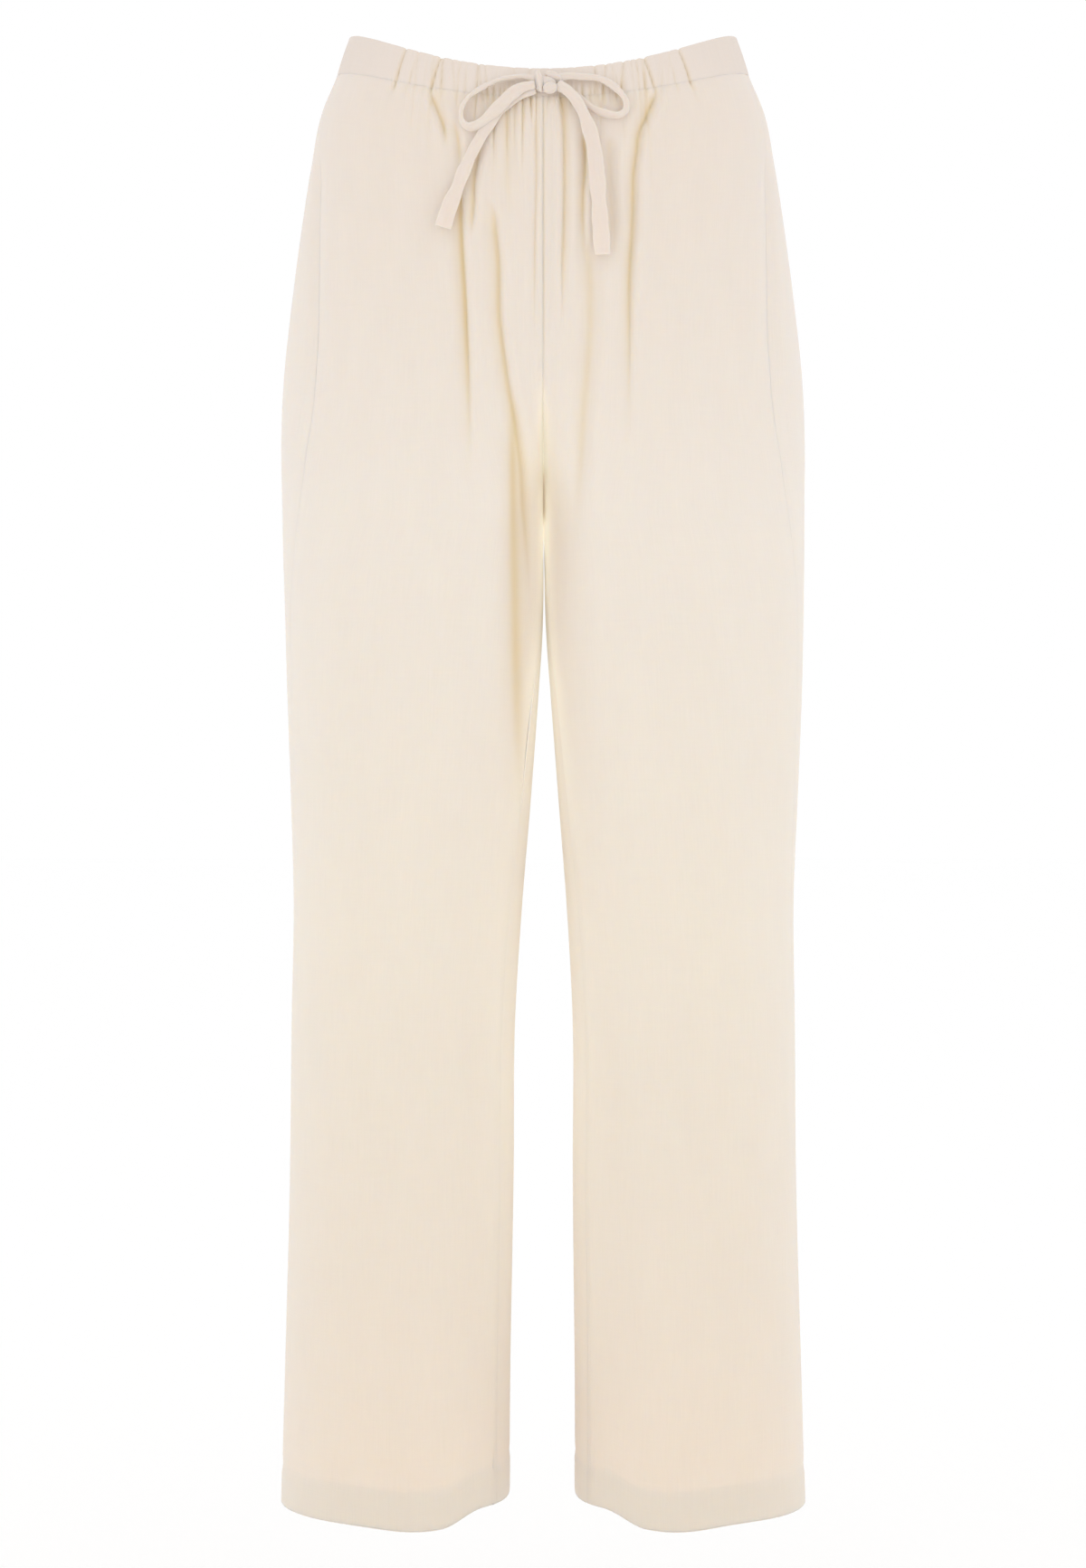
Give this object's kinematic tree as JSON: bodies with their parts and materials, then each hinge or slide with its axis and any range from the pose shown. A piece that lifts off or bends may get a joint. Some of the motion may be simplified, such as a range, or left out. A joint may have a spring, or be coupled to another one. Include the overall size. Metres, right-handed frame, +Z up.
{
  "type": "linen drawstring trousers",
  "caption": "Straight-legged linen trousers with a gathered drawstring waist tied in a bow, filled out and open at waist and hems.",
  "frame": {"origin": "middle of the waist, at half the height of the waistband's side seams", "axes": "+Z up along the body, the front of the trousers faces -Y, +X to the wearer's left"},
  "size_m": [0.3768, 0.2597, 1.0518],
  "materials": {
    "linen": "plain-weave cream linen with fine slubs",
    "linen_gathered": "the same linen, gathered over elastic",
    "linen_turned": "the same linen, turned up double",
    "linen_tape": "narrow folded tie of the same linen, edge-stitched"
  },
  "bodies": {
    "root": {"front_panel_left": "linen", "front_panel_right": "linen", "back_panel_left": "linen", "back_panel_right": "linen", "waistband_front": "linen_gathered", "waistband_back": "linen_gathered", "hem_left": "linen_turned", "hem_right": "linen_turned", "bow_knot": "linen_tape", "bow_loop_left": "linen_tape", "bow_loop_right": "linen_tape", "drawstring_tail_left": "linen_tape", "drawstring_tail_right": "linen_tape"}
  },
  "joints": []
}
